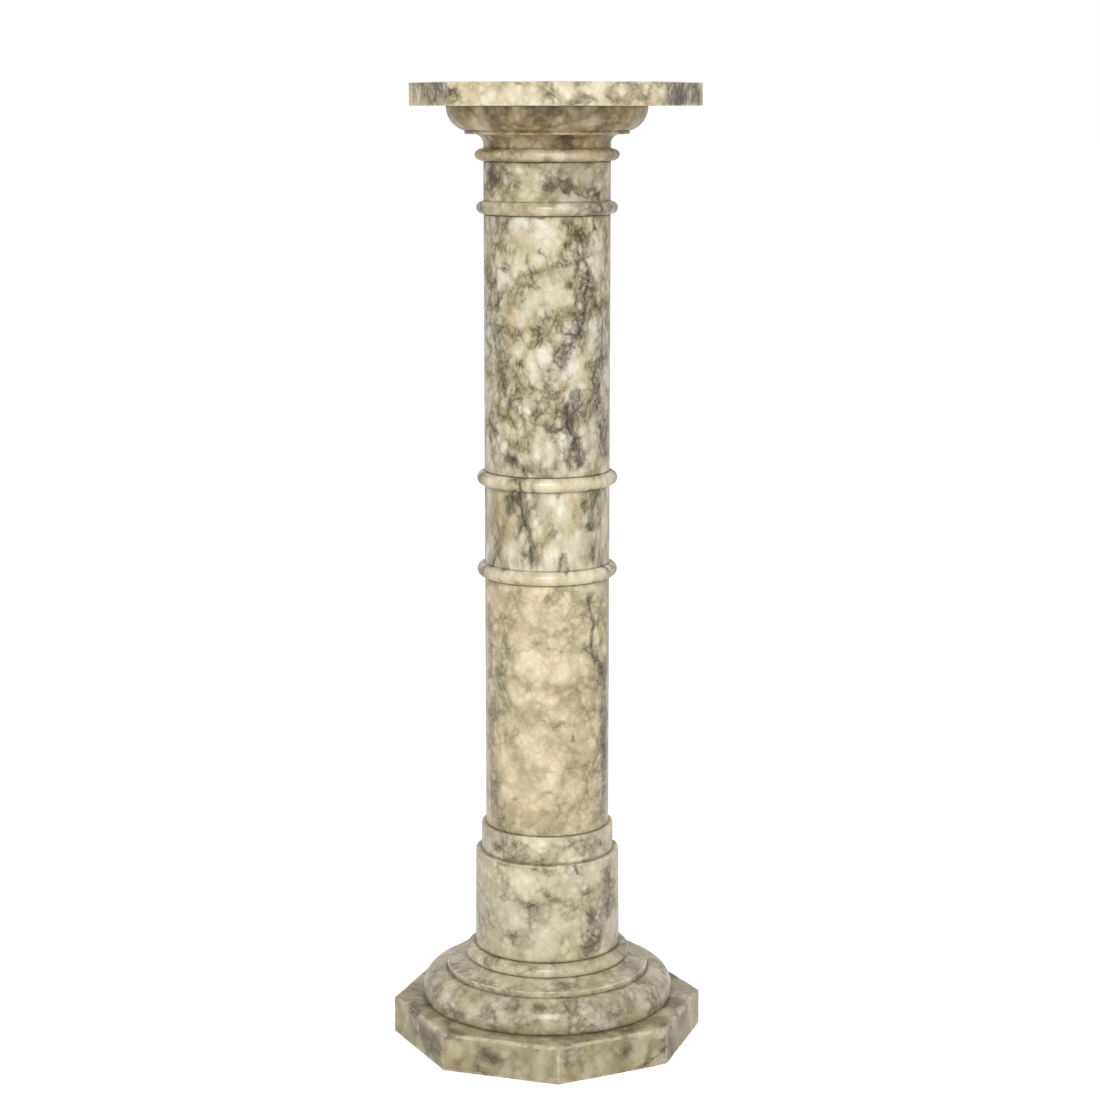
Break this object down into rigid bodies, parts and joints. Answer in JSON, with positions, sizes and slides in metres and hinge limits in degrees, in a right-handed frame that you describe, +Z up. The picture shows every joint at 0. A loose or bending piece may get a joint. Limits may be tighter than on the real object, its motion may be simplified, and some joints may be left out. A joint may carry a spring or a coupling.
{
  "type": "marble pedestal",
  "caption": "Turned marble display pedestal: octagonal plinth, moulded base, round column with rings, moulded capital and octagonal top slab.",
  "frame": {"origin": "centre of the plinth's underside, on the floor", "axes": "+Z up the column's axis, -Y towards the front view, +X to the viewer's right"},
  "size_m": [0.3428, 0.3428, 1.05],
  "materials": {
    "plinth_marble": "worn polish, olive-cream with grey blotches",
    "base_moulding_marble": "polished, grey-lilac mottled cream",
    "socle_marble": "polished, cream with grey clouds and network veins",
    "lower_shaft_marble": "polished, warm cream with soft light blobs and fine tan network",
    "middle_band_marble": "polished, cream with dark running veins",
    "upper_shaft_marble": "polished, cream with a dense grey vein network",
    "necking_marble": "polished, cream with dark grey patches",
    "capital_marble": "polished, warm cream, browned in the hollows",
    "top_slab_marble": "polished, light cream with tan blotches and grey streaks"
  },
  "bodies": {
    "root": {"plinth": "plinth_marble", "base_moulding": "base_moulding_marble", "socle": "socle_marble", "lower_shaft": "lower_shaft_marble", "middle_band": "middle_band_marble", "upper_shaft": "upper_shaft_marble", "necking": "necking_marble", "capital": "capital_marble", "top_slab": "top_slab_marble"}
  },
  "joints": []
}
